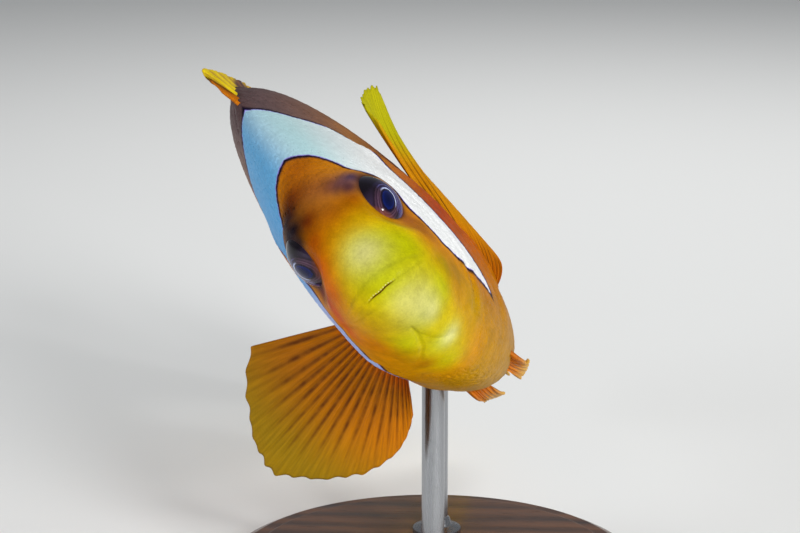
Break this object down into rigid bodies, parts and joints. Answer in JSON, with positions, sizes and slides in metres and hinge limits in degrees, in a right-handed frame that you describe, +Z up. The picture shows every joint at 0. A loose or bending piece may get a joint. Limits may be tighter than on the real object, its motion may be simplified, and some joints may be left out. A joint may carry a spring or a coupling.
{
  "type": "two-band anemonefish (clownfish) display model",
  "caption": "Life-size still model of a two-band anemonefish, banked with one breast fin raised, held by short rods on a round wooden base.",
  "frame": {"origin": "centre of the flat underside of the round base", "axes": "+Z up; the snout points towards -Y and the tail towards +Y; the fish's left side is towards +X, banked upwards"},
  "size_m": [0.0584, 0.1266, 0.0748],
  "materials": {
    "face_skin": "painted cast skin, orange-brown crown over an amber face, satin with a wet sheen",
    "jaw_skin": "painted cast skin, yellow-green lips and chin, satin",
    "bar_skin": "painted cast skin, bluish white head bar with a thin dark edge, satin",
    "flank_skin": "painted cast skin, brown back over orange flanks with a white middle bar, finely scaled",
    "eye": "glass eye, dark brown-purple iris round a deep blue pupil, polished",
    "yellow_fin": "thin cast fin, yellow, with raised rays",
    "amber_fin": "thin cast fin, amber with darker gaps between the rays",
    "base_wood": "turned dark walnut, satin oil",
    "rod_steel": "drawn stainless rod, satin"
  },
  "bodies": {
    "root": {"head": "face_skin", "lower_jaw": "jaw_skin", "gill_cover_left": "bar_skin", "gill_cover_right": "bar_skin", "trunk": "flank_skin", "tail_stalk": "flank_skin", "eye_left": "eye", "eye_right": "eye", "dorsal_fin": "yellow_fin", "anal_fin": "yellow_fin", "tail_fin": "yellow_fin", "pelvic_fin_left": "yellow_fin", "pelvic_fin_right": "yellow_fin", "pectoral_fin_left": "amber_fin", "pectoral_fin_right": "amber_fin", "stand_base": "base_wood", "stand_rod_front": "rod_steel", "stand_rod_rear": "rod_steel"}
  },
  "joints": []
}
